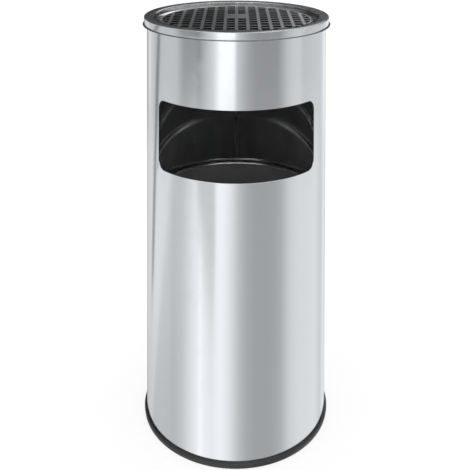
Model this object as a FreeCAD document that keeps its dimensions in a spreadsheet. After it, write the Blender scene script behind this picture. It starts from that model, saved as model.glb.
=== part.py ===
import FreeCAD, Part
import math
import os

import Sketcher

# Free-standing ashtray bin: a sheet-steel cylinder with a disposal window in
# its front, a lift-out liner pail inside, and a lift-off ashtray head that
# carries a perforated grille.
#
# Millimetres. +Z up, the window faces -Y, +X is the right-hand side. The origin
# is the centre of the face the bin stands on.

SIZES = [
    # alias, value, meaning
    ("total_height", 573.0, "floor to the flat top of the head's flange"),
    ("shell_radius", 130.0, "outside of the cylinder"),
    ("sheet", 0.8, "sheet thickness of shell, head and liner"),
    ("running_gap", 0.05, "radial gap of a part that slides over another"),
    ("base_height", 7.4, "visible height of the base edging"),
    ("base_radius", 133.3, "outside of the base edging"),
    ("base_inner_radius", 122.0, "inside of the base edging's web"),
    ("base_web", 2.0, "thickness of the web the shell stands on"),
    ("base_round", 1.0, "rounding of the base edging's outer edges"),
    ("floor_flange", 11.0, "height of the floor pan's upturned flange"),
    ("window_low", 375.0, "height of the window's sill"),
    ("window_high", 470.0, "height of the window's top edge"),
    ("window_half_angle", 55.0, "half of the window's width, in degrees"),
    ("window_corner", 14.0, "corner radius on the rolled sheet"),
    ("seam_width", 6.6, "width of the seam's cover strip"),
    ("seam_thick", 0.6, "thickness of the seam's cover strip"),
    ("seam_low", 14.0, "lower end of the seam's cover strip"),
    ("seam_high", 558.0, "upper end of the seam's cover strip"),
    ("hoop_height", 8.0, "height of the hoop round the shell's top edge"),
    ("skirt_radius", 134.25, "outside of the head's skirt"),
    ("skirt_drop", 11.1, "height of the skirt"),
    ("flange_inner", 120.0, "radius of the opening in the head's flange"),
    ("flange_turn", 3.2, "height of the flange's inner downturn"),
    ("flange_round", 1.1, "outer rounding where flange meets skirt"),
    ("flange_roll", 2.0, "rounding of the flange's inner edge"),
    ("trim_radius", 136.2, "outside of the black edging under the skirt"),
    ("trim_above", 0.5, "how far the edging reaches up outside the skirt"),
    ("trim_bevel", 0.35, "bevel of that edging's outer corners"),
    ("trim_below", 0.7, "how far the edging reaches below the skirt"),
    ("ledge_depth", 7.0, "depth of the grille's seat below the flange"),
    ("step_depth", 5.2, "depth of the step round the seat below the flange"),
    ("step_inner", 117.3, "inner edge of that step"),
    ("well_radius", 111.6, "foot of the slope from the step to the seat"),
    ("slope_shift", 0.12, "sideways shift of the slope's underside at its bends"),
    ("bowl_radius", 106.0, "inside of the ash bowl"),
    ("bowl_depth", 57.0, "depth of the ash bowl's floor below the flange"),
    ("bowl_lip", 126.0, "outside of the bowl's lip under the flange"),
    ("bowl_bend", 10.0, "bend radius at the bowl's floor"),
    ("bead_radius", 1.1, "section radius of the grille's edge wire"),
    ("bead_centre", 109.9, "radius of the edge wire's centre line"),
    ("grille_thick", 1.0, "thickness of the grille plate"),
    ("slot_field", 107.0, "radius of the field of slots"),
    ("slot_bite", 2.0, "least reach of a slot into the field"),
    ("slot_wide", 11.4, "slot size across the bin"),
    ("slot_long", 13.4, "slot size from front to back"),
    ("pitch_wide", 15.9, "slot pitch across the bin"),
    ("pitch_long", 18.1, "slot pitch from front to back"),
    ("liner_radius", 121.0, "outside of the liner's wall"),
    ("liner_top", 311.0, "height of the liner's rim"),
    ("wall_drop", 0.2, "drop of the liner wall's top edge below the rim's middle"),
    ("rim_wire", 1.7, "half the width of the liner's rolled rim"),
    ("rim_bevel", 1.0, "bevel of the rolled rim's corners"),
    ("liner_floor", 4.0, "height of the liner's floor above the pan"),
    ("ear_wide", 14.0, "width of a handle ear"),
    ("ear_low", 270.0, "lower end of a handle ear"),
    ("ear_high", 300.0, "upper end of a handle ear"),
    ("ear_flat", 1.5, "half of the straight edge between an ear's corners"),
    ("ear_face", 123.2, "distance of an ear's outer face from the axis"),
    ("ear_root", 2.0, "how far an ear's blank starts inside the liner's outside"),
    ("ear_gap", 0.01, "gap between the liner's wall and an ear's curved back"),
    ("pivot_height", 293.0, "height of the handle's pivot"),
    ("bail_radius", 124.9, "radius of the handle's centre line"),
    ("bail_wire", 1.5, "section radius of the handle's wire"),
    ("bail_bend", 2.0, "bend radius at the handle's ends"),
    ("bail_end", 121.35, "distance of the handle's tips from the axis"),
    ("rivet_radius", 1.6, "shank of a rivet"),
    ("rivet_head", 3.0, "radius of a rivet's head"),
    ("rivet_thick", 0.8, "thickness of a rivet's head"),
    ("rivet_low", 275.0, "height of the lower rivets"),
    ("rivet_high", 284.0, "height of the upper rivets"),
    ("tail_gap", 0.06, "gap between the liner's wall and a rivet's inner head"),
]


class Dim:
    """A length that keeps both its value and the expression that gives it."""

    def __init__(self, text, value):
        self.text, self.value = text, value

    def combine(self, sign, other, operate):
        if not isinstance(other, Dim):
            other = Dim(repr(float(other)), float(other))
        text = "(%s %s %s)" % (self.text, sign, other.text)
        return Dim(text, operate(self.value, other.value))

    def __add__(self, other):
        return self.combine("+", other, lambda a, b: a + b)

    def __sub__(self, other):
        return self.combine("-", other, lambda a, b: a - b)

    def __mul__(self, other):
        return self.combine("*", other, lambda a, b: a * b)

    def __truediv__(self, other):
        return self.combine("/", other, lambda a, b: a / b)

    def __neg__(self):
        return Dim("(0 - %s)" % self.text, -self.value)


class Size:
    """The driving dimensions as Dims, one attribute for each alias."""


doc = FreeCAD.newDocument("AshtrayBin")
table = doc.addObject("Spreadsheet::Sheet", "Sizes")
for row, (alias, value, meaning) in enumerate(SIZES, 1):
    table.set("A%d" % row, alias)
    table.set("B%d" % row, repr(value))
    table.set("C%d" % row, meaning)
    table.setAlias("B%d" % row, alias)
    setattr(Size, alias, Dim("Sizes." + alias, value))
doc.recompute()

ZERO = Dim("0", 0.0)
TOLERANCE = 1e-4  # for finding edges by their place

# Dimensions that several pieces share.
top = Size.total_height
thick = Size.sheet
gap = Size.running_gap
shell_inner = Size.shell_radius - thick
shell_low = Size.base_web
shell_high = top - thick
pan_top = shell_low + thick
skirt_inner = Size.skirt_radius - thick
skirt_low = top - Size.skirt_drop
turn_outer = Size.flange_inner + thick
seat = top - Size.ledge_depth
bead_mid = seat + Size.bead_radius
liner_inner = Size.liner_radius - thick
rim_mid = Size.liner_top - Size.rim_wire
wall_top = rim_mid - Size.wall_drop


# -------------------------------------------------------------------- helpers
def near(a, b):
    return abs(a - b) < TOLERANCE


def new_body(label):
    body = doc.addObject("PartDesign::Body", label)
    body.Label = label
    return body


def new_sketch(body, name, role, offset=None):
    """A sketch on one of the body's own origin planes, moved along its normal."""
    sketch = body.newObject("Sketcher::SketchObject", name)
    plane = [f for f in body.Origin.OriginFeatures if f.Role == role][0]
    sketch.AttachmentSupport = [(plane, "")]
    sketch.MapMode = "FlatFace"
    if offset is not None:
        sketch.AttachmentOffset = FreeCAD.Placement(
            FreeCAD.Vector(0, 0, offset.value), FreeCAD.Rotation()
        )
        sketch.setExpression("AttachmentOffset.Base.z", offset.text)
    return sketch


def bind(sketch, kind, args, dim):
    """Adds a dimensional constraint that the table drives."""
    index = sketch.addConstraint(Sketcher.Constraint(kind, *args, dim.value))
    sketch.setExpression("Constraints[%d]" % index, dim.text)


def pin_point(sketch, geo, pos, x, y):
    """Fixes a sketch point by its two coordinates."""
    if x is ZERO:
        sketch.addConstraint(Sketcher.Constraint("Vertical", -1, 1, geo, pos))
    else:
        bind(sketch, "DistanceX", (-1, 1, geo, pos), x)
    if y is ZERO:
        sketch.addConstraint(Sketcher.Constraint("Horizontal", -1, 1, geo, pos))
    else:
        bind(sketch, "DistanceY", (-1, 1, geo, pos), y)


def polygon(sketch, points):
    """A closed outline in an empty sketch, every corner driven from the table."""
    count = len(points)
    corners = [FreeCAD.Vector(x.value, y.value, 0) for x, y in points]
    for i in range(count):
        sketch.addGeometry(Part.LineSegment(corners[i], corners[(i + 1) % count]), False)
    for i in range(count):
        sketch.addConstraint(Sketcher.Constraint("Coincident", i, 2, (i + 1) % count, 1))
    for i, (x, y) in enumerate(points):
        pin_point(sketch, i, 1, x, y)


def circle(sketch, x, y, radius):
    centre = FreeCAD.Vector(x.value, y.value, 0)
    geo = sketch.addGeometry(
        Part.Circle(centre, FreeCAD.Vector(0, 0, 1), radius.value), False
    )
    pin_point(sketch, geo, 3, x, y)
    bind(sketch, "Radius", (geo,), radius)


def revolve(body, sketch, name, angle=None):
    """Turns a sketch round Z: fully, or by an angle astride its plane."""
    feature = body.newObject("PartDesign::Revolution", name)
    feature.Profile = sketch
    feature.ReferenceAxis = (sketch, ["V_Axis"])
    feature.Angle = 360.0
    if angle is not None:
        feature.Midplane = True
        feature.setExpression("Angle", angle)
    doc.recompute()
    return feature


def pad(body, sketch, name, length):
    feature = body.newObject("PartDesign::Pad", name)
    feature.Profile = sketch
    feature.setExpression("Length", length.text)
    doc.recompute()
    return feature


def pocket_through(body, sketch, name):
    """Cuts a sketch through the whole body, to both sides of its plane."""
    feature = body.newObject("PartDesign::Pocket", name)
    feature.Profile = sketch
    feature.Type = "ThroughAll"
    feature.Midplane = True
    doc.recompute()


def fillet(body, name, base, radius, wanted):
    """Rounds the edges of base that wanted() picks."""
    names = ["Edge%d" % i for i, edge in enumerate(base.Shape.Edges, 1) if wanted(edge)]
    if not names:
        raise RuntimeError("no edges found for " + name)
    feature = body.newObject("PartDesign::Fillet", name)
    feature.Base = (base, names)
    feature.Radius = radius.value
    feature.setExpression("Radius", radius.text)
    doc.recompute()
    return feature


def turned(label, points, rounds=()):
    """A ring or cup: an outline of (radius, height) turned round the axis.

    Each entry of rounds is a fillet radius and the corners it rounds.
    """
    body = new_body(label)
    sketch = new_sketch(body, label + "_outline", "XZ_Plane")
    polygon(sketch, points)
    solid = revolve(body, sketch, label + "_turn")
    for i, (radius, corners) in enumerate(rounds, 1):

        def at_corner(edge):
            curve = edge.Curve
            return isinstance(curve, Part.Circle) and any(
                near(curve.Radius, r.value) and near(curve.Center.z, z.value)
                for r, z in corners
            )

        solid = fillet(body, "%s_round%d" % (label, i), solid, radius, at_corner)
    return body


# ---------------------------------------------------------------- the housing
def outer_shell():
    """Cylinder of rolled sheet with the window in its front."""
    body = new_body("outer_shell")
    sketch = new_sketch(body, "shell_outline", "XY_Plane", shell_low)
    circle(sketch, ZERO, ZERO, Size.shell_radius)
    circle(sketch, ZERO, ZERO, shell_inner)
    pad(body, sketch, "shell_tube", shell_high - shell_low)

    # The window is cut by a wedge from the axis to well outside the shell.
    half = Size.window_half_angle
    reach = Size.shell_radius * 1.2
    side_x = Dim(
        "(%s * sin(%s * 1 deg))" % (reach.text, half.text),
        reach.value * math.sin(math.radians(half.value)),
    )
    side_y = Dim(
        "(0 - %s * cos(%s * 1 deg))" % (reach.text, half.text),
        -reach.value * math.cos(math.radians(half.value)),
    )
    sketch = new_sketch(body, "window_wedge", "XY_Plane", Size.window_high)
    polygon(
        sketch,
        [
            (ZERO, ZERO),
            (-side_x, side_y),
            (-side_x, -reach),
            (side_x, -reach),
            (side_x, side_y),
        ],
    )
    window = body.newObject("PartDesign::Pocket", "window")
    window.Profile = sketch
    window.setExpression("Length", (Size.window_high - Size.window_low).text)
    doc.recompute()

    def at_window_corner(edge):
        """The four short edges that run through the sheet."""
        if not isinstance(edge.Curve, Part.Line) or len(edge.Vertexes) != 2:
            return False
        start, end = (vertex.Point for vertex in edge.Vertexes)
        return (
            near(start.z, end.z)
            and (near(start.z, Size.window_low.value) or near(start.z, Size.window_high.value))
            and edge.Length < 2 * thick.value
            and start.y < 0
        )

    fillet(body, "window_corners", window, Size.window_corner, at_window_corner)
    return body


def seam_strip():
    """Cover strip over the shell's lengthwise seam, inside at the back."""
    body = new_body("seam_strip")
    sketch = new_sketch(body, "seam_outline", "YZ_Plane")
    strip_inner = shell_inner - Size.seam_thick
    polygon(
        sketch,
        [
            (strip_inner, Size.seam_low),
            (shell_inner, Size.seam_low),
            (shell_inner, Size.seam_high),
            (strip_inner, Size.seam_high),
        ],
    )
    angle = "%s / %s * 180 deg / pi" % (Size.seam_width.text, shell_inner.text)
    revolve(body, sketch, "seam_turn", angle)
    return body


def top_hoop():
    """Steel hoop round the shell's top edge, which the head's skirt slides over."""
    hoop_low = shell_high - Size.hoop_height
    hoop_radius = skirt_inner - gap
    return turned(
        "top_hoop",
        [
            (Size.shell_radius, hoop_low),
            (hoop_radius, hoop_low),
            (hoop_radius, shell_high),
            (Size.shell_radius, shell_high),
        ],
    )


def floor_pan():
    """Pressed floor pan, spot-welded inside the shell's lower edge."""
    pan_edge = shell_inner - gap
    flange_top = shell_low + Size.floor_flange
    return turned(
        "floor_pan",
        [
            (ZERO, shell_low),
            (pan_edge, shell_low),
            (pan_edge, flange_top),
            (pan_edge - thick, flange_top),
            (pan_edge - thick, pan_top),
            (ZERO, pan_top),
        ],
    )


def base_edging():
    """Black edging round the shell's lower edge; the bin stands on it."""
    outer_low = (Size.base_radius, ZERO)
    outer_high = (Size.base_radius, Size.base_height)
    return turned(
        "base_edging",
        [
            (Size.base_inner_radius, ZERO),
            outer_low,
            outer_high,
            (Size.shell_radius + gap, Size.base_height),
            (Size.shell_radius + gap, shell_low),
            (Size.base_inner_radius, shell_low),
        ],
        [(Size.base_round, [outer_low, outer_high])],
    )


# ------------------------------------------------------------------- the head
def head_ring():
    """Flat flange with an outer skirt and a short inner downturn."""
    turn_low = top - Size.flange_turn
    return turned(
        "head_ring",
        [
            (Size.flange_inner, turn_low),
            (turn_outer, turn_low),
            (turn_outer, shell_high),
            (skirt_inner, shell_high),
            (skirt_inner, skirt_low),
            (Size.skirt_radius, skirt_low),
            (Size.skirt_radius, top),
            (Size.flange_inner, top),
        ],
        [
            (Size.flange_round, [(Size.skirt_radius, top)]),
            (Size.flange_roll, [(Size.flange_inner, top)]),
            (Size.flange_roll - thick, [(turn_outer, shell_high)]),
        ],
    )


def head_edging():
    """Black edging on the skirt's lower edge, with bevelled outer corners."""
    low = skirt_low - Size.trim_below
    high = skirt_low + Size.trim_above
    outer, bevel = Size.trim_radius, Size.trim_bevel
    return turned(
        "head_edging",
        [
            (skirt_inner, low),
            (outer - bevel, low),
            (outer, low + bevel),
            (outer, high - bevel),
            (outer - bevel, high),
            (Size.skirt_radius, high),
            (Size.skirt_radius, skirt_low),
            (skirt_inner, skirt_low),
        ],
    )


def ash_bowl():
    """Lip under the flange, wall, step, slope to the grille's seat, deep pan."""
    step = top - Size.step_depth
    floor = top - Size.bowl_depth
    neck = turn_outer + gap
    lip_top = shell_high
    shift = Size.slope_shift
    lip_bend = Size.flange_roll - thick + gap
    return turned(
        "ash_bowl",
        [
            # underside and outside, from the axis up to the lip
            (ZERO, floor - thick),
            (Size.bowl_radius + thick, floor - thick),
            (Size.bowl_radius + thick, seat - thick),
            (Size.well_radius + shift, seat - thick),
            (Size.step_inner + shift, step - thick),
            (neck + thick, step - thick),
            (neck + thick, lip_top - thick),
            (Size.bowl_lip, lip_top - thick),
            # top and inside, from the lip down to the axis
            (Size.bowl_lip, lip_top),
            (neck, lip_top),
            (neck, step),
            (Size.step_inner, step),
            (Size.well_radius, seat),
            (Size.bowl_radius, seat),
            (Size.bowl_radius, floor),
            (ZERO, floor),
        ],
        [
            (Size.bowl_bend, [(Size.bowl_radius, floor)]),
            (Size.bowl_bend + thick, [(Size.bowl_radius + thick, floor - thick)]),
            (lip_bend, [(neck, lip_top)]),
            (lip_bend - thick, [(neck + thick, lip_top - thick)]),
        ],
    )


# ----------------------------------------------------------------- the grille
def grille_edge_wire():
    """Round wire along the grille's edge, resting on the seat."""
    body = new_body("grille_edge_wire")
    sketch = new_sketch(body, "bead_section", "XZ_Plane")
    circle(sketch, Size.bead_centre, bead_mid, Size.bead_radius)
    revolve(body, sketch, "bead_turn")
    return body


def slot_lines():
    """Outlines of the slots, in rows and columns astride the centre lines."""
    pitch_x, pitch_y = Size.pitch_wide.value, Size.pitch_long.value
    half_x, half_y = Size.slot_wide.value / 2, Size.slot_long.value / 2
    field = Size.slot_field.value
    columns = int(math.ceil(field / pitch_x))
    rows = int(math.ceil(field / pitch_y))
    lines = []
    for i in range(-columns, columns):
        x = (i + 0.5) * pitch_x
        for j in range(-rows, rows):
            y = (j + 0.5) * pitch_y
            nearest = math.hypot(max(abs(x) - half_x, 0), max(abs(y) - half_y, 0))
            if nearest > field - Size.slot_bite.value:
                continue
            # The two middle columns stay solid in the two rows behind the centre.
            if i in (-1, 0) and j in (0, 1):
                continue
            corners = [
                FreeCAD.Vector(x + a * half_x, y + b * half_y, 0)
                for a, b in ((-1, -1), (1, -1), (1, 1), (-1, 1))
            ]
            for n in range(4):
                lines.append(Part.LineSegment(corners[n], corners[(n + 1) % 4]))
    return lines


def grille_plate():
    """Round plate with rectangular slots and a plain border."""
    plate_low = bead_mid - Size.grille_thick / 2
    plate_radius = Size.bead_centre - Size.bead_radius
    body = new_body("grille_plate")
    sketch = new_sketch(body, "plate_outline", "XY_Plane", plate_low)
    circle(sketch, ZERO, ZERO, plate_radius)
    pad(body, sketch, "plate", Size.grille_thick)

    sketch = new_sketch(body, "slots_outline", "XY_Plane", plate_low)
    sketch.addGeometry(slot_lines(), False)
    pocket_through(body, sketch, "slots")

    # The border fills the outer slots back in, up to the round field.
    sketch = new_sketch(body, "border_outline", "XY_Plane", plate_low)
    circle(sketch, ZERO, ZERO, plate_radius)
    circle(sketch, ZERO, ZERO, Size.slot_field)
    pad(body, sketch, "border", Size.grille_thick)
    return body


# ------------------------------------------------------------------ the liner
def rivet_holes(sketch):
    for height in (Size.rivet_low, Size.rivet_high):
        circle(sketch, ZERO, height, Size.rivet_radius + gap)


def liner_wall():
    """The pail's wall, with two rivet holes on each side."""
    body = new_body("liner_wall")
    sketch = new_sketch(body, "wall_outline", "XY_Plane", pan_top)
    circle(sketch, ZERO, ZERO, Size.liner_radius)
    circle(sketch, ZERO, ZERO, liner_inner)
    pad(body, sketch, "wall", wall_top - pan_top)
    sketch = new_sketch(body, "wall_rivet_holes", "YZ_Plane")
    rivet_holes(sketch)
    pocket_through(body, sketch, "wall_holes")
    return body


def liner_rim():
    """Rolled rim: a bead with a slot underneath, which holds the wall's top edge."""
    middle = Size.liner_radius - thick / 2
    outer = middle + Size.rim_wire
    inner = middle - Size.rim_wire
    low = rim_mid - Size.rim_wire
    high = Size.liner_top
    bevel = Size.rim_bevel
    return turned(
        "liner_rim",
        [
            (inner + bevel, low),
            (liner_inner, low),
            (liner_inner, wall_top),
            (Size.liner_radius, wall_top),
            (Size.liner_radius, low),
            (outer - bevel, low),
            (outer, low + bevel),
            (outer, high - bevel),
            (outer - bevel, high),
            (inner + bevel, high),
            (inner, high - bevel),
            (inner, low + bevel),
        ],
    )


def liner_floor_disc():
    """The pail's floor, with a downturned edge that stands on the pan."""
    edge = liner_inner - gap
    floor = pan_top + Size.liner_floor
    return turned(
        "liner_floor_disc",
        [
            (ZERO, floor - thick),
            (edge - thick, floor - thick),
            (edge - thick, pan_top),
            (edge, pan_top),
            (edge, floor),
            (ZERO, floor),
        ],
    )


def handle_ear_right():
    """Upright plate with rounded corners, its back curved to the liner's wall."""
    body = new_body("handle_ear_right")
    half_wide = Size.ear_wide / 2
    blank_back = Size.liner_radius - Size.ear_root
    sketch = new_sketch(body, "ear_outline", "YZ_Plane", blank_back)
    polygon(
        sketch,
        [
            (-half_wide, Size.ear_low),
            (half_wide, Size.ear_low),
            (half_wide, Size.ear_high),
            (-half_wide, Size.ear_high),
        ],
    )
    plate = pad(body, sketch, "ear_plate", Size.ear_face - blank_back)

    def at_ear_corner(edge):
        """The four edges that run through the blank, along X."""
        return (
            isinstance(edge.Curve, Part.Line)
            and all(near(abs(v.Point.y), half_wide.value) for v in edge.Vertexes)
            and abs(edge.Vertexes[0].Point.x - edge.Vertexes[1].Point.x) > 1.0
        )

    fillet(body, "ear_corners", plate, half_wide - Size.ear_flat, at_ear_corner)

    sketch = new_sketch(body, "ear_back", "XY_Plane")
    circle(sketch, ZERO, ZERO, Size.liner_radius + Size.ear_gap)
    pocket_through(body, sketch, "ear_seat")

    sketch = new_sketch(body, "ear_holes_outline", "YZ_Plane")
    circle(sketch, ZERO, Size.pivot_height, Size.bail_wire + gap)
    rivet_holes(sketch)
    pocket_through(body, sketch, "ear_holes")
    return body


def handle_ear_left(ear_right):
    """Mirror image of the right ear."""
    ear = doc.addObject("Part::Mirroring", "handle_ear_left")
    ear.Label = "handle_ear_left"
    ear.Source = ear_right
    ear.Base = FreeCAD.Vector(0, 0, 0)
    ear.Normal = FreeCAD.Vector(1, 0, 0)
    return ear


def ear_rivets():
    """Four rivets: shank through wall and ear, a low head on each side."""
    tail_face = liner_inner - Size.tail_gap
    sections = (
        # name, radius, start along X, length
        ("shank", Size.rivet_radius, tail_face, Size.ear_face - tail_face),
        ("head", Size.rivet_head, Size.ear_face, Size.rivet_thick),
        ("tail", Size.rivet_head, tail_face - Size.rivet_thick, Size.rivet_thick),
    )
    rivets = []
    for side, direction in (("right", 1), ("left", -1)):
        outward = FreeCAD.Rotation(FreeCAD.Vector(0, direction, 0), 90)
        for level, height in (("low", Size.rivet_low), ("high", Size.rivet_high)):
            label = "rivet_%s_%s" % (side, level)
            parts = []
            for name, radius, start, length in sections:
                part = doc.addObject("Part::Cylinder", "%s_%s" % (label, name))
                part.setExpression("Radius", radius.text)
                part.setExpression("Height", length.text)
                part.Placement = FreeCAD.Placement(FreeCAD.Vector(0, 0, 0), outward)
                place = start if direction > 0 else -start
                part.setExpression("Placement.Base.x", place.text)
                part.setExpression("Placement.Base.z", height.text)
                parts.append(part)
            rivet = doc.addObject("Part::MultiFuse", label)
            rivet.Shapes = parts
            rivet.Refine = True
            rivets.append(rivet)
    group = doc.addObject("Part::Compound", "ear_rivets")
    group.Label = "ear_rivets"
    group.Links = rivets
    return group


def bail_handle():
    """Wire bail handle, folded down to the front; its tips turn in the ears."""
    body = new_body("bail_handle")
    path = new_sketch(body, "bail_path", "XY_Plane", Size.pivot_height)
    bend = Size.bail_bend.value
    radius = Size.bail_radius.value
    tip = Size.bail_end.value
    bend_start = radius - bend
    bend_reach = bend * math.sqrt(0.5)  # from a bend's centre to its midpoint

    def point(x, y):
        return FreeCAD.Vector(x, y, 0)

    # From the left tip round the front to the right tip.
    tip_left, tip_right = point(-tip, 0), point(tip, 0)
    start_left, start_right = point(-bend_start, 0), point(bend_start, 0)
    mid_left = point(-bend_start - bend_reach, -bend + bend_reach)
    mid_right = point(bend_start + bend_reach, -bend + bend_reach)
    end_left, end_right = point(-radius, -bend), point(radius, -bend)
    path.addGeometry(
        [
            Part.LineSegment(tip_left, start_left),
            Part.Arc(start_left, mid_left, end_left),
            Part.Arc(end_left, point(0, -bend - radius), end_right),
            Part.Arc(end_right, mid_right, start_right),
            Part.LineSegment(start_right, tip_right),
        ],
        False,
    )
    section = new_sketch(body, "bail_section", "YZ_Plane", -Size.bail_end)
    circle(section, ZERO, Size.pivot_height, Size.bail_wire)
    doc.recompute()
    pipe = body.newObject("PartDesign::AdditivePipe", "bail_pipe")
    pipe.Profile = section
    pipe.Spine = (path, [""])
    doc.recompute()
    return body


# ------------------------------------------------------------ build and write
pieces = [
    outer_shell(),
    seam_strip(),
    top_hoop(),
    floor_pan(),
    base_edging(),
    head_ring(),
    head_edging(),
    ash_bowl(),
    grille_edge_wire(),
    grille_plate(),
    liner_wall(),
    liner_rim(),
    liner_floor_disc(),
]
ear_right = handle_ear_right()
pieces += [ear_right, handle_ear_left(ear_right), ear_rivets(), bail_handle()]

doc.recompute()
for item in doc.Objects:
    bad = [state for state in item.State if state in ("Invalid", "Error")]
    if bad:
        raise RuntimeError("%s is %s" % (item.Label, ", ".join(bad)))

for piece in pieces:
    if piece.Shape.isNull() or not piece.Shape.isValid():
        raise RuntimeError(piece.Label + " has no valid shape")
    count = len(piece.Shape.Solids)
    if count != (4 if piece.Label == "ear_rivets" else 1):
        raise RuntimeError("%s has %d solids" % (piece.Label, count))

os.makedirs("parts", exist_ok=True)
for piece in pieces:
    piece.Shape.exportStep("parts/%s.step" % piece.Label)
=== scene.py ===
import bpy
import bmesh
import math
from mathutils import Matrix, Vector


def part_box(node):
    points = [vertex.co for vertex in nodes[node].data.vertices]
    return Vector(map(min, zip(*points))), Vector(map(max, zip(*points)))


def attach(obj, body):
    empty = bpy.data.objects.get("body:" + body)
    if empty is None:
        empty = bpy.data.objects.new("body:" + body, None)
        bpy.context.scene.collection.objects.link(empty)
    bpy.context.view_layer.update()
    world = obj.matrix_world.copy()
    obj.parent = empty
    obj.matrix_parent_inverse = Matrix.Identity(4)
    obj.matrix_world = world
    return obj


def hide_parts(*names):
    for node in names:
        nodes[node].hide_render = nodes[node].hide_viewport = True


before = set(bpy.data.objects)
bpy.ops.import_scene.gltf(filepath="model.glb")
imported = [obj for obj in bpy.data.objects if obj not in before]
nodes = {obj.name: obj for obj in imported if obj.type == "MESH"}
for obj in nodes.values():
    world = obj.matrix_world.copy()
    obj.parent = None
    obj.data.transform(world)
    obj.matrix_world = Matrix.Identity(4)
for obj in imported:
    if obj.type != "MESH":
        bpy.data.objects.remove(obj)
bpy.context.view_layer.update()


MM = 0.001
scene = bpy.context.scene
scene.view_settings.view_transform = "Standard"


# ------------------------------------------------------------------ measures
def size_of(node):
    lo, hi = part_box(node)
    return lo, hi


def reach(node):
    """Outer radius of a round node, in millimetres."""
    return size_of(node)[1].x / MM


def low(node):
    return size_of(node)[0].z / MM


def high(node):
    return size_of(node)[1].z / MM


H = high("head_ring")
R = reach("outer_shell")
SHEET = H - high("outer_shell")
WINDOW_LOW, WINDOW_HIGH = 375.0, 470.0
WINDOW_HALF = math.radians(55.0)
WINDOW_CORNER = 14.0


# ------------------------------------------------------------------ mesh code
def new_object(name, verts, faces, body, material, replaces=()):
    mesh = bpy.data.meshes.new(name)
    mesh.from_pydata([Vector(v) * MM for v in verts], [], faces)
    mesh.validate()
    bm = bmesh.new()
    bm.from_mesh(mesh)
    bmesh.ops.remove_doubles(bm, verts=bm.verts, dist=1e-7)
    bmesh.ops.recalc_face_normals(bm, faces=bm.faces)
    bm.to_mesh(mesh)
    bm.free()
    ob = bpy.data.objects.new(name, mesh)
    scene.collection.objects.link(ob)
    mesh.materials.append(material)
    smooth(mesh)
    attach(ob, body)
    if replaces:
        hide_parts(*replaces)
    return ob


def smooth(mesh, angle=38.0):
    for p in mesh.polygons:
        p.use_smooth = True
    bm = bmesh.new()
    bm.from_mesh(mesh)
    for e in bm.edges:
        e.smooth = not (
            len(e.link_faces) == 2
            and e.calc_face_angle(0.0) > math.radians(angle)
        )
    bm.to_mesh(mesh)
    bm.free()


def rounded(points, steps=4):
    """A closed outline of (r, z, radius) corners with each corner rounded."""
    out = []
    n = len(points)
    for i, (x, y, rad) in enumerate(points):
        p = Vector((x, y))
        if not rad:
            out.append((x, y))
            continue
        a = (Vector(points[i - 1][:2]) - p)
        b = (Vector(points[(i + 1) % n][:2]) - p)
        la, lb = a.length, b.length
        a.normalize()
        b.normalize()
        half = a.angle(b) / 2
        cut = min(rad / math.tan(half), la * 0.49, lb * 0.49)
        rad = cut * math.tan(half)
        centre = p + (a + b).normalized() * (rad / math.sin(half))
        p1, p2 = p + a * cut - centre, p + b * cut - centre
        turn = p1.angle_signed(p2)
        for k in range(steps + 1):
            t = -turn * k / steps
            c, s = math.cos(t), math.sin(t)
            out.append(
                (centre.x + p1.x * c - p1.y * s, centre.y + p1.x * s + p1.y * c)
            )
    return out


def lathe(name, profile, body, material, replaces=(), segs=256, wobble=None):
    """Turns an outline of (r, z) round the axis. Points with r = 0 become poles."""
    verts, faces = [], []
    n = len(profile)
    for j in range(segs):
        a = 2 * math.pi * j / segs
        c, s = math.cos(a), math.sin(a)
        for r, z in profile:
            if wobble:
                r, z = wobble(r, z, a)
            verts.append((r * c, r * s, z))
    for j in range(segs):
        k = (j + 1) % segs
        for i in range(n):
            m = (i + 1) % n
            if profile[i][0] < 1e-6 and profile[m][0] < 1e-6:
                continue
            quad = [j * n + i, k * n + i, k * n + m, j * n + m]
            if profile[i][0] < 1e-6:
                quad = [j * n + i, k * n + m, j * n + m]
            elif profile[m][0] < 1e-6:
                quad = [j * n + i, k * n + i, j * n + m]
            faces.append(quad)
    return new_object(name, verts, faces, body, material, replaces)


def finer_copy(node, width, body, material, segments=2, name=None):
    """A bevelled copy of a CAD node, with its flat faces whole again."""
    src = nodes[node]
    mesh = src.data.copy()
    mesh.materials.clear()
    mesh.materials.append(material)
    bm = bmesh.new()
    bm.from_mesh(mesh)
    bmesh.ops.remove_doubles(bm, verts=bm.verts, dist=1e-6)
    bmesh.ops.dissolve_limit(
        bm, angle_limit=math.radians(0.5), verts=bm.verts, edges=bm.edges
    )
    for f in bm.faces:
        f.material_index = 0
    bm.to_mesh(mesh)
    bm.free()
    ob = bpy.data.objects.new(name or ("fine_" + node), mesh)
    scene.collection.objects.link(ob)
    smooth(mesh, 30)
    mod = ob.modifiers.new("edge_round", "BEVEL")
    mod.width = width * MM
    mod.segments = segments
    mod.limit_method = "ANGLE"
    mod.angle_limit = math.radians(40)
    mod.use_clamp_overlap = True
    mod.harden_normals = False
    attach(ob, body)
    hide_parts(node)
    return ob


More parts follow.
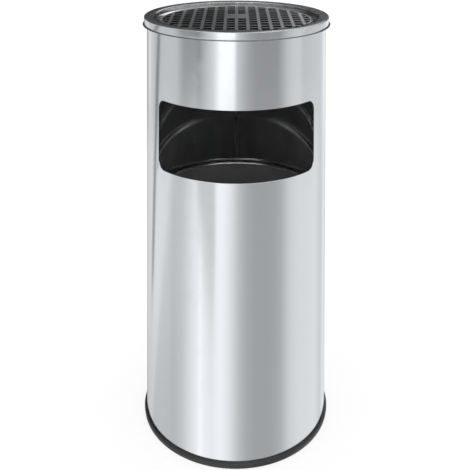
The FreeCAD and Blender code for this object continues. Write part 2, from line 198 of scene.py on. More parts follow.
# ------------------------------------------------------------------ materials
class Tree:
    """Small helper for building a node tree."""

    def __init__(self, name):
        self.mat = bpy.data.materials.new(name)
        self.mat.use_nodes = True
        self.nt = self.mat.node_tree
        self.nt.nodes.clear()
        self.out = self.nt.nodes.new("ShaderNodeOutputMaterial")
        self.p = self.nt.nodes.new("ShaderNodeBsdfPrincipled")
        self.nt.links.new(self.p.outputs[0], self.out.inputs[0])
        self.coord = self.nt.nodes.new("ShaderNodeTexCoord").outputs["Object"]

    def node(self, kind, **props):
        n = self.nt.nodes.new(kind)
        for k, v in props.items():
            setattr(n, k, v)
        return n

    def link(self, a, b):
        self.nt.links.new(a, b)

    def math(self, op, a, b=None, c=None, clamp=False):
        n = self.node("ShaderNodeMath", operation=op, use_clamp=clamp)
        for i, v in enumerate((a, b, c)):
            if v is None:
                continue
            if isinstance(v, (int, float)):
                n.inputs[i].default_value = v
            else:
                self.link(v, n.inputs[i])
        return n.outputs[0]

    def span(self, value, a0, a1, b0, b1, soft=True):
        n = self.node("ShaderNodeMapRange")
        n.interpolation_type = "SMOOTHSTEP" if soft else "LINEAR"
        self.link(value, n.inputs[0])
        for i, v in enumerate((a0, a1, b0, b1)):
            n.inputs[i + 1].default_value = v
        return n.outputs[0]

    def vector(self, x, y, z):
        n = self.node("ShaderNodeCombineXYZ")
        for i, v in enumerate((x, y, z)):
            if isinstance(v, (int, float)):
                n.inputs[i].default_value = v
            else:
                self.link(v, n.inputs[i])
        return n.outputs[0]

    def noise(self, vec, scale, detail=3.0, rough=0.55):
        n = self.node("ShaderNodeTexNoise")
        n.inputs["Scale"].default_value = scale
        n.inputs["Detail"].default_value = detail
        n.inputs["Roughness"].default_value = rough
        self.link(vec, n.inputs["Vector"])
        return n.outputs[0]

    def mix(self, fac, a, b):
        n = self.node("ShaderNodeMix", data_type="RGBA")
        self.put(n.inputs[0], fac)
        self.put(n.inputs[6], a)
        self.put(n.inputs[7], b)
        return n.outputs[2]

    def put(self, socket, v):
        if isinstance(v, (int, float)):
            socket.default_value = v
        elif isinstance(v, (tuple, list)):
            socket.default_value = (*v, 1.0)[:4]
        else:
            self.link(v, socket)

    def polar(self):
        """Radius, arc position and height of the shaded point, in metres."""
        s = self.node("ShaderNodeSeparateXYZ")
        self.link(self.coord, s.inputs[0])
        x, y, z = s.outputs
        rad = self.math(
            "SQRT",
            self.math("ADD", self.math("MULTIPLY", x, x), self.math("MULTIPLY", y, y)),
        )
        ang = self.math("ARCTAN2", x, self.math("MULTIPLY", y, -1.0))
        return rad, ang, z, x, y

    def bump(self, height, strength, distance):
        b = self.node("ShaderNodeBump")
        b.inputs["Strength"].default_value = strength
        b.inputs["Distance"].default_value = distance
        self.link(height, b.inputs["Height"])
        self.link(b.outputs[0], self.p.inputs["Normal"])
        return b


def brushed(t, along, across, fine=1.0):
    """Brush lines that run along one coordinate: long, thin noise in two sizes."""
    line = t.noise(
        t.vector(
            t.math("MULTIPLY", along, 14.0), t.math("MULTIPLY", across, 2600.0 * fine), 0.0
        ),
        1.0,
        2.0,
        0.6,
    )
    streak = t.noise(
        t.vector(
            t.math("MULTIPLY", along, 5.0), t.math("MULTIPLY", across, 320.0 * fine), 3.7
        ),
        1.0,
        3.0,
        0.6,
    )
    return line, streak


def steel(name, colour, rough, wear=1.0, aniso=0.0, mill=None, flat=False, shade_and_soot_below=None, shade_cut_edges=False, relief=0.06):
    """Brushed steel. The grain runs round the bin, or radially on flat faces.
    Inside the radius mill, the sheet keeps its smoother mill finish."""
    t = Tree(name)
    rad, ang, z, x, y = t.polar()
    along = t.math("MULTIPLY", ang, 0.13)
    across = rad if flat else t.math("ADD", rad, z)
    line, streak = brushed(t, along, across)
    cloud = t.noise(t.coord, 9.0, 4.0, 0.6)
    smudge = t.noise(t.coord, 34.0, 5.0, 0.65)
    tone = t.math(
        "ADD",
        t.math("MULTIPLY", t.math("SUBTRACT", streak, 0.5), 0.10),
        t.math(
            "ADD",
            t.math("MULTIPLY", t.math("SUBTRACT", line, 0.5), 0.06),
            t.math("MULTIPLY", t.math("SUBTRACT", cloud, 0.5), 0.08 * wear),
        ),
    )
    dark = tuple(c * 0.88 for c in colour)
    light = tuple(min(1.0, c * 1.06) for c in colour)
    col = t.mix(t.math("ADD", tone, 0.62, clamp=True), dark, light)
    r = t.math(
        "ADD",
        rough,
        t.math(
            "ADD",
            t.math("MULTIPLY", t.math("SUBTRACT", line, 0.5), 0.10),
            t.math("MULTIPLY", t.span(smudge, 0.5, 0.75, 0.0, 1.0), 0.07 * wear),
        ),
    )
    metallic = 1.0
    if mill is not None:
        inner = t.math("LESS_THAN", rad, mill * MM)
        col = t.mix(inner, col, t.mix(smudge, (0.50, 0.503, 0.508), (0.56, 0.563, 0.568)))
        r_in = t.math("ADD", 0.022, t.math("MULTIPLY", smudge, 0.03))
        n = t.node("ShaderNodeMix", data_type="FLOAT")
        t.put(n.inputs[0], inner)
        t.put(n.inputs[2], r)
        t.put(n.inputs[3], r_in)
        r = n.outputs[0]
        metallic = t.math("SUBTRACT", 1.0, t.math("MULTIPLY", inner, 0.12))
    if shade_and_soot_below is not None:
        # Painted shade, partly burnt-on ash: the metal darkens and dulls below this height, standing in for the
        # shade inside the bowl under the grille.
        edge = t.math("ADD", z, t.math("MULTIPLY", t.math("SUBTRACT", smudge, 0.5), 0.006))
        shade_and_soot_mask = t.span(edge, shade_and_soot_below * MM - 0.003, shade_and_soot_below * MM, 1.0, 0.0)
        col = t.mix(shade_and_soot_mask, col, t.mix(smudge, (0.012, 0.0115, 0.011), (0.04, 0.038, 0.036)))
        metallic = t.math("SUBTRACT", 1.0, shade_and_soot_mask)
        n = t.node("ShaderNodeMix", data_type="FLOAT")
        t.put(n.inputs[0], shade_and_soot_mask)
        t.put(n.inputs[2], r)
        t.put(n.inputs[3], 0.75)
        r = n.outputs[0]
    if shade_cut_edges:
        # Painted shade: the punched slot walls and the underside, which face away from the light, are darkened to
        # near black.
        geo = t.node("ShaderNodeNewGeometry")
        sn = t.node("ShaderNodeSeparateXYZ")
        t.link(geo.outputs["True Normal"], sn.inputs[0])
        cut = t.span(sn.outputs[2], 0.35, 0.85, 1.0, 0.0)
        cut = t.math("MULTIPLY", cut, t.span(rad, 0.1078, 0.1084, 1.0, 0.0))
        col = t.mix(cut, col, t.mix(smudge, (0.008, 0.008, 0.008), (0.022, 0.021, 0.02)))
        metallic = t.math("SUBTRACT", 1.0, cut)
        n = t.node("ShaderNodeMix", data_type="FLOAT")
        t.put(n.inputs[0], cut)
        t.put(n.inputs[2], r)
        t.put(n.inputs[3], 0.85)
        r = n.outputs[0]
        t.put(t.p.inputs["Specular IOR Level"], 0.25)
    t.put(t.p.inputs["Base Color"], col)
    t.put(t.p.inputs["Metallic"], metallic)
    t.put(t.p.inputs["Roughness"], r)
    if aniso:
        if mill is not None:
            # The mill face isn't brushed.
            t.put(t.p.inputs["Anisotropic"], t.math("MULTIPLY", t.math("SUBTRACT", 1.0, inner), aniso))
        else:
            t.p.inputs["Anisotropic"].default_value = aniso
        tan = t.node("ShaderNodeTangent", direction_type="RADIAL", axis="Z")
        t.link(tan.outputs[0], t.p.inputs["Tangent"])
        t.p.inputs["Anisotropic Rotation"].default_value = 0.25
    height = t.math("ADD", t.math("MULTIPLY", line, 0.7), t.math("MULTIPLY", streak, 0.3))
    t.bump(height, relief, 0.0002)
    return t.mat


def dull(name, colour, rough, grain=700.0, wear=(0.2, 0.2, 0.2), amount=0.25, metallic=0.0, spec=0.5, depth=0.12, coat=0.0):
    """Moulded or painted surface: fine grain, tone drift and rubbed patches."""
    t = Tree(name)
    cloud = t.noise(t.coord, 14.0, 4.0, 0.6)
    scuff = t.noise(t.coord, 75.0, 6.0, 0.7)
    fine = t.noise(t.coord, grain, 3.0, 0.6)
    dark = tuple(c * 0.82 for c in colour)
    light = tuple(min(1.0, c * 1.2) for c in colour)
    col = t.mix(t.span(cloud, 0.3, 0.7, 0.0, 1.0), dark, light)
    rub = t.math("MULTIPLY", t.span(scuff, 0.56, 0.74, 0.0, 1.0), amount)
    col = t.mix(rub, col, wear)
    t.put(t.p.inputs["Base Color"], col)
    r = t.math(
        "ADD",
        rough,
        t.math("MULTIPLY", t.math("SUBTRACT", fine, 0.5), 0.16),
    )
    r = t.math("ADD", r, t.math("MULTIPLY", rub, 0.25))
    t.put(t.p.inputs["Roughness"], r)
    t.p.inputs["Metallic"].default_value = metallic
    t.p.inputs["Specular IOR Level"].default_value = spec
    if coat:
        t.p.inputs["Coat Weight"].default_value = coat
        t.p.inputs["Coat Roughness"].default_value = 0.1
        t.p.inputs["Coat IOR"].default_value = 2.0
    t.bump(t.math("ADD", t.math("MULTIPLY", fine, 0.6), t.math("MULTIPLY", scuff, 0.4)), depth, 0.0002)
    return t.mat


shell_mat = steel("shell_steel", (0.77, 0.785, 0.80), 0.15, aniso=0.6, mill=R - SHEET + 0.12)
seam_mat = steel("seam_steel", (0.55, 0.555, 0.56), 0.16, wear=1.5)
head_mat = steel("head_steel", (0.76, 0.775, 0.79), 0.14, relief=0.012)
# The bowl below the grille seat is painted dark: painted shade where little light gets through the slots, partly
# ash.
bowl_mat = steel("bowl_steel", (0.52, 0.525, 0.53), 0.09, wear=0.8, shade_and_soot_below=low("grille_edge_wire") - 1.2, relief=0.015)
# The grille's slot walls and underside carry painted shade.
grille_mat = steel("grille_steel", (0.47, 0.475, 0.48), 0.30, wear=2.0, flat=True, shade_cut_edges=True)
wire_mat = steel("bright_wire", (0.95, 0.955, 0.96), 0.20)
liner_mat = dull("liner_steel", (0.36, 0.36, 0.365), 0.40, 420.0, (0.42, 0.42, 0.42), 0.3, metallic=0.35)
lip_mat = dull("lip_edging", (0.03, 0.03, 0.032), 0.22, 900.0, (0.08, 0.08, 0.08), 0.2, spec=0.5, coat=1.0)
edging_mat = dull("black_edging", (0.026, 0.026, 0.0275), 0.42, 900.0, (0.07, 0.07, 0.07), 0.25, spec=0.4)
coat_mat = dull("black_coat", (0.04, 0.04, 0.041), 0.3, 500.0, (0.04, 0.04, 0.04), 0.2, depth=0.04)
rivet_mat = steel("rivet_metal", (0.72, 0.73, 0.74), 0.28, wear=1.5)


# --------------------------------------------------------------- outer shell
def outer_shell():
    """The rolled sheet with its window, as a regular grid on the cylinder."""
    inner = R - SHEET
    z0, z1 = low("outer_shell"), high("outer_shell")
    half = R * WINDOW_HALF
    rho = WINDOW_CORNER
    arc = []
    flat = half - rho
    n_flat = 56
    arc += [flat * (2 * i / n_flat - 1) for i in range(n_flat + 1)]
    corner = [flat + rho * math.sin(math.pi / 2 * k / 12) for k in range(1, 13)]
    arc = [-s for s in reversed(corner)] + arc + corner
    rest = 2 * math.pi * R - 2 * half
    n_rest = 128
    outside = [half + rest * k / n_rest for k in range(1, n_rest)]
    cols = [(s, True) for s in arc] + [(s, False) for s in outside]

    def dip(s):
        d = abs(s) - flat
        if d <= 0:
            return 0.0
        return rho - math.sqrt(max(rho * rho - min(d, rho) ** 2, 0.0))

    n_low, n_mid, n_up = 40, 10, 14
    verts, index = [], {}

    def add(side, c, row, s, z):
        rad = R if side == 0 else inner
        a = s / R
        verts.append((rad * math.sin(a), -rad * math.cos(a), z))
        index[side, c, row] = len(verts) - 1

    edge = (0, len(arc) - 1)
    for c, (s, in_window) in enumerate(cols):
        zl = WINDOW_LOW + (dip(s) if in_window else rho)
        zh = WINDOW_HIGH - (dip(s) if in_window else rho)
        for side in (0, 1):
            for k in range(n_low + 1):
                add(side, c, k, s, z0 + (zl - z0) * k / n_low)
            if not in_window or c in edge:
                for k in range(1, n_mid):
                    add(side, c, n_low + k, s, zl + (zh - zl) * k / n_mid)
            for k in range(n_up + 1):
                add(side, c, n_low + n_mid + k, s, zh + (z1 - zh) * k / n_up)
    total = n_low + n_mid + n_up
    faces = []
    count = len(cols)
    for c in range(count):
        d = (c + 1) % count
        for row in range(total):
            keys = [(c, row), (d, row), (d, row + 1), (c, row + 1)]
            for side in (0, 1):
                if all((side, *k) in index for k in keys):
                    if n_low <= row < n_low + n_mid and c < len(arc) - 1:
                        continue
                    quad = [index[(side, *k)] for k in keys]
                    faces.append(quad if side == 0 else quad[::-1])
        for row in (0, total):
            faces.append(
                [index[0, c, row], index[1, c, row], index[1, d, row], index[0, d, row]]
            )
    last = len(arc) - 1
    for c in range(last):
        for row in (n_low, n_low + n_mid):
            faces.append(
                [index[0, c, row], index[0, c + 1, row], index[1, c + 1, row], index[1, c, row]]
            )
    for c in edge:
        for row in range(n_low, n_low + n_mid):
            faces.append(
                [index[0, c, row], index[0, c, row + 1], index[1, c, row + 1], index[1, c, row]]
            )
    ob = new_object(
        "shell_tube", verts, faces, "housing", shell_mat, ("outer_shell",)
    )
    mod = ob.modifiers.new("edge_round", "BEVEL")
    mod.width = 0.36 * MM
    mod.segments = 2
    mod.limit_method = "ANGLE"
    mod.angle_limit = math.radians(50)
    return ob


outer_shell()

# ------------------------------------------------------------- housing pieces
be_r, be_h = reach("base_edging"), high("base_edging")
be_in = 122.0
shell_foot = low("outer_shell")
lathe(
    "base_edging_ring",
    rounded(
        [
            (be_in, 0.0, 0.4),
            (be_r - 0.5, 0.0, 1.2),
            (be_r, 4.0, 0.0),
            (be_r, be_h - 2.2, 0.8),
            (be_r - 1.3, be_h, 0.8),
            (R + 0.05, be_h, 0.3),
            (R + 0.05, shell_foot, 0.0),
            (be_in, shell_foot, 0.3),
        ]
    ),
    "housing",
    edging_mat,
    ("base_edging",),
)
nodes["top_hoop"].data.materials.clear()
nodes["top_hoop"].data.materials.append(head_mat)
pan_top = low("liner_wall")
fp = reach("floor_pan")
lathe(
    "floor_pan_pressing",
    rounded(
        [
            (0.0, shell_foot, 0.0),
            (fp, shell_foot, 1.0),
            (fp, high("floor_pan"), 0.3),
            (fp - SHEET, high("floor_pan"), 0.3),
            (fp - SHEET, pan_top, 0.6),
            (0.0, pan_top, 0.0),
        ]
    ),
    "housing",
    coat_mat,
    ("floor_pan",),
)

# ----------------------------------------------------------------- head parts
sk_r = reach("head_ring")
sk_low = low("head_ring")
fl_in = 120.0
fl_turn = 3.2
tube_top = high("outer_shell")
lathe(
    "head_ring_pressing",
    rounded(
        [
            (fl_in, H - fl_turn, 0.3),
            (fl_in + SHEET, H - fl_turn, 0.3),
            (fl_in + SHEET, tube_top, 1.2),
            (sk_r - SHEET, tube_top, 0.5),
            (sk_r - SHEET, sk_low, 0.2),
            (sk_r, sk_low, 0.2),
            (sk_r, H, 1.1),
            (fl_in, H, 1.1),
        ],
        6,
    ),
    "ashtray_head",
    head_mat,
    ("head_ring",),
)
tr_r = reach("head_edging")
tr_lo, tr_hi = low("head_edging"), high("head_edging")
lathe(
    "head_edging_bead",
    rounded(
        [
            (sk_r - SHEET, tr_lo, 0.15),
            (tr_r, tr_lo + 0.2, 0.42),
            (tr_r, tr_hi - 0.16, 0.42),
            (sk_r, tr_hi, 0.2),
            (sk_r, sk_low, 0.0),
            (sk_r - SHEET, sk_low, 0.0),
        ]
    ),
    "ashtray_head",
    lip_mat,
    ("head_edging",),
)
seat = low("grille_edge_wire")
bowl_in = fl_in + SHEET + 0.05
bowl_r = 106.0
step = H - 5.2
step_in, well = 117.3, 111.6
floor = low("ash_bowl") + SHEET
lathe(
    "ash_bowl_pressing",
    rounded(
        [
            (0.0, floor - SHEET, 0.0),
            (bowl_r + SHEET, floor - SHEET, 10.8),
            (bowl_r + SHEET, seat - SHEET, 0.3),
            (well + 0.12, seat - SHEET, 0.8),
            (step_in + 0.12, step - SHEET, 0.2),
            (bowl_in + SHEET, step - SHEET, 1.0),
            (bowl_in + SHEET, tube_top - SHEET, 0.45),
            (126.0, tube_top - SHEET, 0.2),
            (126.0, tube_top, 0.2),
            (bowl_in, tube_top, 1.25),
            (bowl_in, step, 0.3),
            (step_in, step, 1.2),
            (well, seat, 0.3),
            (bowl_r, seat, 0.9),
            (bowl_r, floor, 10.0),
            (0.0, floor, 0.0),
        ],
        8,
    ),
    "ashtray_head",
    bowl_mat,
    ("ash_bowl",),
)

# --------------------------------------------------------------- grille parts
gw = (high("grille_edge_wire") - low("grille_edge_wire")) / 2
gw_z = low("grille_edge_wire") + gw
gw_r = 109.9
lathe(
    "grille_rolled_edge",
    [
        (gw_r + gw * math.cos(a), gw_z + gw * math.sin(a))
        for a in (2 * math.pi * k / 20 for k in range(20))
    ],
    "grille",
    wire_mat,
    ("grille_edge_wire",),
)
finer_copy("grille_plate", 0.35, "grille", grille_mat, name="grille_punched_plate")

# ---------------------------------------------------------------- liner parts
lw = reach("liner_wall")
lw_top = high("liner_wall")
lathe(
    "liner_wall_sheet",
    [
        (lw - SHEET, pan_top),
        (lw, pan_top),
        (lw, pan_top + 60),
        (lw, lw_top - 60),
        (lw, lw_top),
        (lw - SHEET, lw_top),
        (lw - SHEET, lw_top - 60),
        (lw - SHEET, pan_top + 60),
    ],
    "liner",
    liner_mat,
    ("liner_wall",),
)
rim_hi, rim_lo = high("liner_rim"), low("liner_rim")
rim_mid = (rim_hi + rim_lo) / 2
rim_r = (rim_hi - rim_lo) / 2
rim_c = lw - SHEET / 2
ring = [
    (rim_c + rim_r * math.cos(a), rim_mid + rim_r * math.sin(a))
    for a in (2 * math.pi * (k + 0.5) / 24 - math.pi / 2 for k in range(24))
]
gap = SHEET / 2 / rim_r
start = [p for p in ring]
ring = [
    (rim_c + rim_r * math.sin(a), rim_mid - rim_r * math.cos(a))
    for a in (gap + (2 * math.pi - 2 * gap) * k / 24 for k in range(25))
] + [(lw - SHEET, lw_top), (lw, lw_top)]
lathe("liner_rolled_rim", ring, "liner", wire_mat, ("liner_rim",))
ld_top = high("liner_floor_disc")
ld_r = reach("liner_floor_disc")
lathe(
    "liner_floor_pressing",
    rounded(
        [
            (0.0, ld_top - SHEET, 0.0),
            (ld_r - SHEET, ld_top - SHEET, 0.5),
            (ld_r - SHEET, pan_top, 0.2),
            (ld_r, pan_top, 0.2),
            (ld_r, ld_top, 1.2),
            (0.0, ld_top, 0.0),
        ]
    ),
    "liner",
    liner_mat,
    ("liner_floor_disc",),
)
finer_copy("handle_ear_right", 0.3, "liner", rivet_mat, name="ear_right_plate")
finer_copy("handle_ear_left", 0.3, "liner", rivet_mat, name="ear_left_plate")


def rivets():
    """Four rivets with domed heads."""
    verts, faces = [], []
    face_x = reach("handle_ear_right")
    tail_x = lw - SHEET - 0.06
    for side in (1, -1):
        for z in (275.0, 284.0):
            prof = [(tail_x - 0.8, 0.0)]
            prof += [
                (tail_x - 0.8 * math.cos(a), 3.0 * math.sin(a))
                for a in (math.pi / 2 * k / 6 for k in range(1, 7))
            ]
            prof += [(tail_x, 1.6), (face_x, 1.6)]
            prof += [
                (face_x + 0.8 * math.cos(a), 3.0 * math.sin(a))
                for a in (math.pi / 2 * (6 - k) / 6 for k in range(0, 6))
            ]
            prof += [(face_x + 0.8, 0.0)]
            segs = 40
            base = len(verts)
            n = len(prof)
            for j in range(segs):
                a = 2 * math.pi * j / segs
                for px, pr in prof:
                    verts.append((side * px, pr * math.cos(a), z + pr * math.sin(a)))
            for j in range(segs):
                k = (j + 1) % segs
                for i in range(n - 1):
                    q = [base + j * n + i, base + k * n + i, base + k * n + i + 1, base + j * n + i + 1]
                    if i == 0:
                        q = [q[0], q[2], q[3]]
                    elif i == n - 2:
                        q = [q[0], q[1], q[3]]
                    faces.append(q)
    return new_object("ear_rivet_set", verts, faces, "liner", rivet_mat, ("ear_rivets",))


rivets()


def bail():
    """The wire handle swept along its bent path."""
    z = 293.0
    rad, bend, tip, wire = 124.9, 2.0, 121.35, 1.5
    path = [(-tip, 0.0)]
    for k in range(0, 9):
        a = math.pi / 2 * k / 8
        path.append((-(rad - bend) - bend * math.sin(a), -bend + bend * math.cos(a)))
    n = 120
    for k in range(1, n):
        a = math.pi * k / n
        path.append((-rad * math.cos(a), -bend - rad * math.sin(a)))
    for k in range(0, 9):
        a = math.pi / 2 * (1 - k / 8)
        path.append(((rad - bend) + bend * math.sin(a), -bend + bend * math.cos(a)))
    path.append((tip, 0.0))
    verts, faces = [], []
    segs = 20
    for i, (x, y) in enumerate(path):
        a = Vector(path[max(i - 1, 0)])
        b = Vector(path[min(i + 1, len(path) - 1)])
        d = (b - a).normalized()
        side = Vector((d.y, -d.x))
        for k in range(segs):
            t = 2 * math.pi * k / segs
            o = side * (wire * math.cos(t))
            verts.append((x + o.x, y + o.y, z + wire * math.sin(t)))
    for i in range(len(path) - 1):
        for k in range(segs):
            m = (k + 1) % segs
            faces.append([i * segs + k, i * segs + m, (i + 1) * segs + m, (i + 1) * segs + k])
    faces.append(list(range(segs)))
    faces.append([(len(path) - 1) * segs + k for k in reversed(range(segs))])
    ob = new_object("bail_wire", verts, faces, "bail", wire_mat, ("bail_handle",))
    mod = ob.modifiers.new("tip_round", "BEVEL")
    mod.width = 0.3 * MM
    mod.segments = 2
    mod.limit_method = "ANGLE"
    mod.angle_limit = math.radians(60)
    return ob


bail()



def seam():
    """Cover strip over the sheet's joint, with two pressed grooves."""
    half = reach("seam_strip")
    outer = R - SHEET
    z0, z1 = low("seam_strip"), high("seam_strip")
    across = [half * (2 * i / 44 - 1) for i in range(45)]
    heights = [z0 + (z1 - z0) * k / 24 for k in range(25)]

    def inner(x):
        h = 0.6
        for g in (-1.75, 1.75):
            d = abs(x - g)
            if d < 0.75:
                h -= 0.18 * (1 + math.cos(math.pi * d / 0.75))
        edge = half - abs(x)
        if edge < 0.45:
            h -= 0.3 * (1 - edge / 0.45) ** 2
        return outer - h

    verts, faces = [], []
    n = len(across)
    for z in heights:
        for x in across:
            a = x / outer
            verts.append((outer * math.sin(a), outer * math.cos(a), z))
        for x in across:
            a = x / outer
            r = inner(x)
            verts.append((r * math.sin(a), r * math.cos(a), z))
    for k in range(len(heights) - 1):
        b, c = k * 2 * n, (k + 1) * 2 * n
        for i in range(n - 1):
            faces.append([b + i, b + i + 1, c + i + 1, c + i])
            faces.append([b + n + i, c + n + i, c + n + i + 1, b + n + i + 1])
        faces.append([b, c, c + n, b + n])
        faces.append([b + n - 1, b + 2 * n - 1, c + 2 * n - 1, c + n - 1])
    top = (len(heights) - 1) * 2 * n
    for i in range(n - 1):
        faces.append([i, n + i, n + i + 1, i + 1])
        faces.append([top + i, top + i + 1, top + n + i + 1, top + n + i])
    return new_object(
        "seam_cover_strip", verts, faces, "housing", seam_mat, ("seam_strip",)
    )


seam()

# ------------------------------------------------------------------ the floor
def ground():
    bm = bmesh.new()
    bmesh.ops.create_grid(bm, x_segments=8, y_segments=8, size=12.0)
    mesh = bpy.data.meshes.new("floor")
    bm.to_mesh(mesh)
    bm.free()
    ob = bpy.data.objects.new("floor", mesh)
    scene.collection.objects.link(ob)
    ob.location = (0, 0, 0)
    t = Tree("pale_floor")
    n = t.noise(t.coord, 3.0, 3.0, 0.5)
    t.p.inputs["Roughness"].default_value = 0.9
    t.p.inputs["Specular IOR Level"].default_value = 0.1
    t.put(t.p.inputs["Base Color"], t.mix(n, (0.22, 0.22, 0.22), (0.24, 0.24, 0.24)))
    t.p.inputs["Emission Color"].default_value = (1, 1, 1, 1)
    t.p.inputs["Emission Strength"].default_value = 0.79
    mesh.materials.append(t.mat)
    ob.visible_glossy = False
    ob.visible_diffuse = False
    return ob


ground()


# ------------------------------------------------------------------ the light
def studio():
    """White surround. What the metal mirrors is a ring of soft panels and dark
    gaps, given by azimuth (0 in front, positive to the right) and elevation."""
    world = bpy.data.worlds.new("studio")
    scene.world = world
    world.use_nodes = True
    nt = world.node_tree
    nt.nodes.clear()
    t = Tree.__new__(Tree)
    t.nt = nt
    out = nt.nodes.new("ShaderNodeOutputWorld")
    tc = nt.nodes.new("ShaderNodeTexCoord")
    sep = nt.nodes.new("ShaderNodeSeparateXYZ")
    nt.links.new(tc.outputs["Generated"], sep.inputs[0])
    x, y, z = sep.outputs
    el = t.math("DIVIDE", t.math("ARCSINE", z), math.pi / 180)
    az = t.math("DIVIDE", t.math("ARCTAN2", x, t.math("MULTIPLY", y, -1.0)), math.pi / 180)

    def panels(stops):
        """Brightness round the ring, from stops of (azimuth, level)."""
        n = nt.nodes.new("ShaderNodeValToRGB")
        nt.links.new(t.math("DIVIDE", t.math("ADD", az, 180.0), 360.0), n.inputs[0])
        cr = n.color_ramp
        cr.interpolation = "LINEAR"
        while len(cr.elements) > 1:
            cr.elements.remove(cr.elements[-1])
        first = True
        for a, v in stops:
            p = (a + 180.0) / 360.0
            e = cr.elements[0] if first else cr.elements.new(p)
            e.position = p
            v = v / 2.0
            e.color = (v, v, v, 1)
            first = False
        return t.math("MULTIPLY", n.outputs[0], 2.0)

    upper = panels(
        [
            (-180, 0.3), (-160, 0.34), (-150, 0.8), (-142, 0.85), (-128, 0.66),
            (-108, 0.66), (-80, 0.66), (-68, 0.37), (-50, 0.335), (-47, 0.25), (-44, 0.38),
            (-26, 0.90), (-20, 1.34), (-2, 1.36), (0, 0.74), (14, 0.46),
            (24, 0.36), (52, 0.35), (66, 0.64), (76, 0.74), (86, 0.76), (92, 0.64), (112, 0.70),
            (135, 0.75), (150, 1.0), (160, 0.9), (172, 0.4),
        ]
    )
    lower = panels(
        [
            (-180, 0.4), (-160, 0.5), (-150, 0.62), (-138, 0.68), (-118, 0.74), (-96, 0.74),
            (-84, 0.66), (-70, 0.74), (-56, 0.98), (-49, 1.10), (-45, 1.32), (-42, 1.16),
            (-30, 1.06), (-18, 1.16), (-8, 0.96),
            (4, 0.64), (14, 0.50), (26, 0.45), (46, 0.46), (58, 0.54),
            (70, 0.78), (84, 0.88), (120, 0.92), (137, 0.72), (148, 0.95), (170, 0.6),
        ]
    )
    rise = t.span(el, -20.0, -14.5, 0.0, 1.0)
    band = t.node("ShaderNodeMix", data_type="FLOAT")
    t.put(band.inputs[0], rise)
    t.put(band.inputs[2], lower)
    t.put(band.inputs[3], upper)
    ring = band.outputs[0]
    # The wedge of a grey flag that narrows downwards, front left.
    spread = t.span(el, -34.0, -22.0, 1.0, 12.6, soft=False)
    mid = t.math("ADD", t.math("MULTIPLY", el, 0.8), 54.2)
    off = t.math("ABSOLUTE", t.math("ADD", az, mid))
    inside = t.math("DIVIDE", t.math("SUBTRACT", spread, off), 2.0, clamp=True)
    wedge = t.math("MULTIPLY", inside, t.span(el, -17.0, -19.5, 0.0, 1.0))
    wedge = t.math("MULTIPLY", wedge, t.span(el, -32.0, -26.0, 0.0, 0.37))
    ring = t.math("MULTIPLY", ring, t.math("SUBTRACT", 1.0, wedge))
    off = t.math("ABSOLUTE", t.math("ADD", az, 44.5))
    edge = t.math("MULTIPLY", t.span(off, 2.0, 5.5, 0.24, 0.0), t.span(el, -25.5, -23.5, 0.0, 1.0))
    edge = t.math("MULTIPLY", edge, t.span(el, -17.0, -19.5, 0.0, 1.0))
    ring = t.math("MULTIPLY", ring, t.math("SUBTRACT", 1.0, edge))
    # A paler panel far left, whose edge leans back as it goes down.
    lean = t.math("ADD", az, t.math("SUBTRACT", 90.0, t.math("MULTIPLY", t.math("ADD", el, 22.8), 3.4)))
    far = t.math("MULTIPLY", t.span(lean, -3.0, 3.0, 0.24, 0.0), t.span(el, -17.0, -20.0, 0.0, 1.0))
    ring = t.math("MULTIPLY", ring, t.math("ADD", 1.0, far))
    # Everything far left falls off towards the floor.
    dim = t.math("MULTIPLY", t.span(az, -96.0, -60.0, 0.14, 0.0), t.span(el, -28.0, -34.0, 0.0, 1.0))
    ring = t.math("MULTIPLY", ring, t.math("SUBTRACT", 1.0, dim))
    # A thin dark stand far left, leaning back as it goes down.
    lean = t.math("ADD", t.math("MULTIPLY", t.math("ADD", el, 13.0), -1.1), 117.0)
    off = t.math("ABSOLUTE", t.math("ADD", az, lean))
    stand = t.math("MULTIPLY", t.span(off, 2.0, 6.0, 1.0, 0.0), t.span(el, -30.0, -26.0, 0.0, 0.60))
    ring = t.math("MULTIPLY", ring, t.math("SUBTRACT", 1.0, stand))
    # Above the horizon: dim in front, paler at the sides, dark drape behind, a
    # soft box high at the back right and a pale ceiling.
    away = t.math("ABSOLUTE", az)
    front = t.math("ADD", 0.16, t.span(away, 20.0, 75.0, 0.0, 0.26))
    front = t.math("ADD", front, t.span(az, 40.0, 90.0, 0.0, 0.25))
    rear = t.math("SUBTRACT", t.span(el, 8.0, 12.0, 0.03, 0.115), t.span(el, 14.0, 20.0, 0.0, 0.07))
    drape = t.node("ShaderNodeMix", data_type="FLOAT")
    t.put(drape.inputs[0], t.span(away, 100.0, 135.0, 0.0, 1.0))
    t.put(drape.inputs[2], front)
    t.put(drape.inputs[3], rear)
    wide = t.span(t.math("ABSOLUTE", t.math("SUBTRACT", az, 164.0)), 10.0, 16.0, 1.0, 0.0)
    tall = t.span(t.math("ABSOLUTE", t.math("SUBTRACT", el, 30.0)), 9.0, 13.0, 1.0, 0.0)
    box = t.math("MULTIPLY", t.math("MULTIPLY", wide, tall), 2.2)
    upward = t.math("ADD", drape.outputs[0], box)
    upward = t.math("ADD", upward, t.span(el, 58.0, 80.0, 0.0, 0.4))
    wide = t.span(away, 35.0, 80.0, 1.0, 0.0)
    tall = t.span(t.math("ABSOLUTE", t.math("SUBTRACT", el, 27.0)), 5.0, 8.0, 1.0, 0.0)
    upward = t.math("ADD", upward, t.math("MULTIPLY", t.math("MULTIPLY", wide, tall), 2.8))
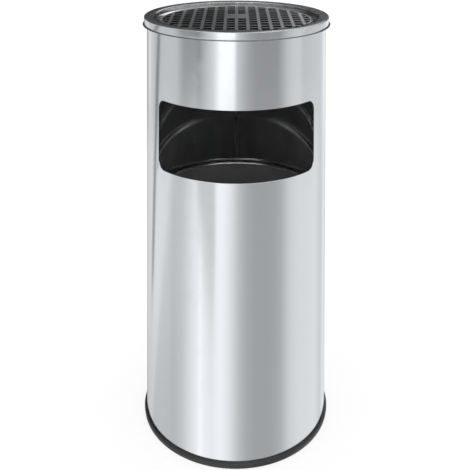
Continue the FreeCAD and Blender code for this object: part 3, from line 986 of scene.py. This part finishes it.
    # The panels reach higher in front and at the sides than behind.
    reach_up = t.span(away, 95.0, 125.0, 11.0, 0.0)
    lift = t.span(t.math("SUBTRACT", el, reach_up), -6.0, 0.0, 0.0, 1.0)
    m = t.node("ShaderNodeMix", data_type="FLOAT")
    t.put(m.inputs[0], lift)
    t.put(m.inputs[2], ring)
    t.put(m.inputs[3], upward)
    mirror = m.outputs[0]
    lp = nt.nodes.new("ShaderNodeLightPath")
    plain = nt.nodes.new("ShaderNodeBackground")
    plain.inputs[0].default_value = (1, 1, 1, 1)
    plain.inputs[1].default_value = 1.04
    shine = nt.nodes.new("ShaderNodeBackground")
    shine.inputs[0].default_value = (0.985, 1.0, 1.015, 1)
    nt.links.new(mirror, shine.inputs[1])
    mixs = nt.nodes.new("ShaderNodeMixShader")
    nt.links.new(lp.outputs["Is Glossy Ray"], mixs.inputs[0])
    nt.links.new(plain.outputs[0], mixs.inputs[1])
    nt.links.new(shine.outputs[0], mixs.inputs[2])
    nt.links.new(mixs.outputs[0], out.inputs[0])
    world.cycles.sampling_method = "NONE"


studio()

# ----------------------------------------------------------------- the camera
HOME = (0.0, -1.105, 0.76354)
cam_data = bpy.data.cameras.new("view")
cam_data.sensor_width = 36.0
cam_data.lens = 58.148
cam = bpy.data.objects.new("view", cam_data)
scene.collection.objects.link(cam)
cam.location = HOME
cam.rotation_euler = (
    Matrix.Rotation(math.radians(90 - 1.413), 3, "X")
    @ Matrix.Rotation(math.radians(0.141), 3, "Z")
).to_euler()
cam_data.clip_start, cam_data.clip_end = 0.01, 60.0
scene.camera = cam


def shift(prop, amount):
    """Sets the lens shift while the camera stands at home, and none elsewhere."""
    drv = cam_data.driver_add(prop).driver
    drv.type = "SCRIPTED"
    for name, kind in (("px", "LOC_X"), ("py", "LOC_Y"), ("pz", "LOC_Z")):
        var = drv.variables.new()
        var.name = name
        var.type = "TRANSFORMS"
        var.targets[0].id = cam
        var.targets[0].transform_type = kind
        var.targets[0].transform_space = "WORLD_SPACE"
    drv.expression = "%r if abs(px - %r) + abs(py - %r) + abs(pz - %r) < 0.001 else 0.0" % (
        amount,
        HOME[0],
        HOME[1],
        HOME[2],
    )


shift("shift_x", -0.00381)
shift("shift_y", -0.70685)
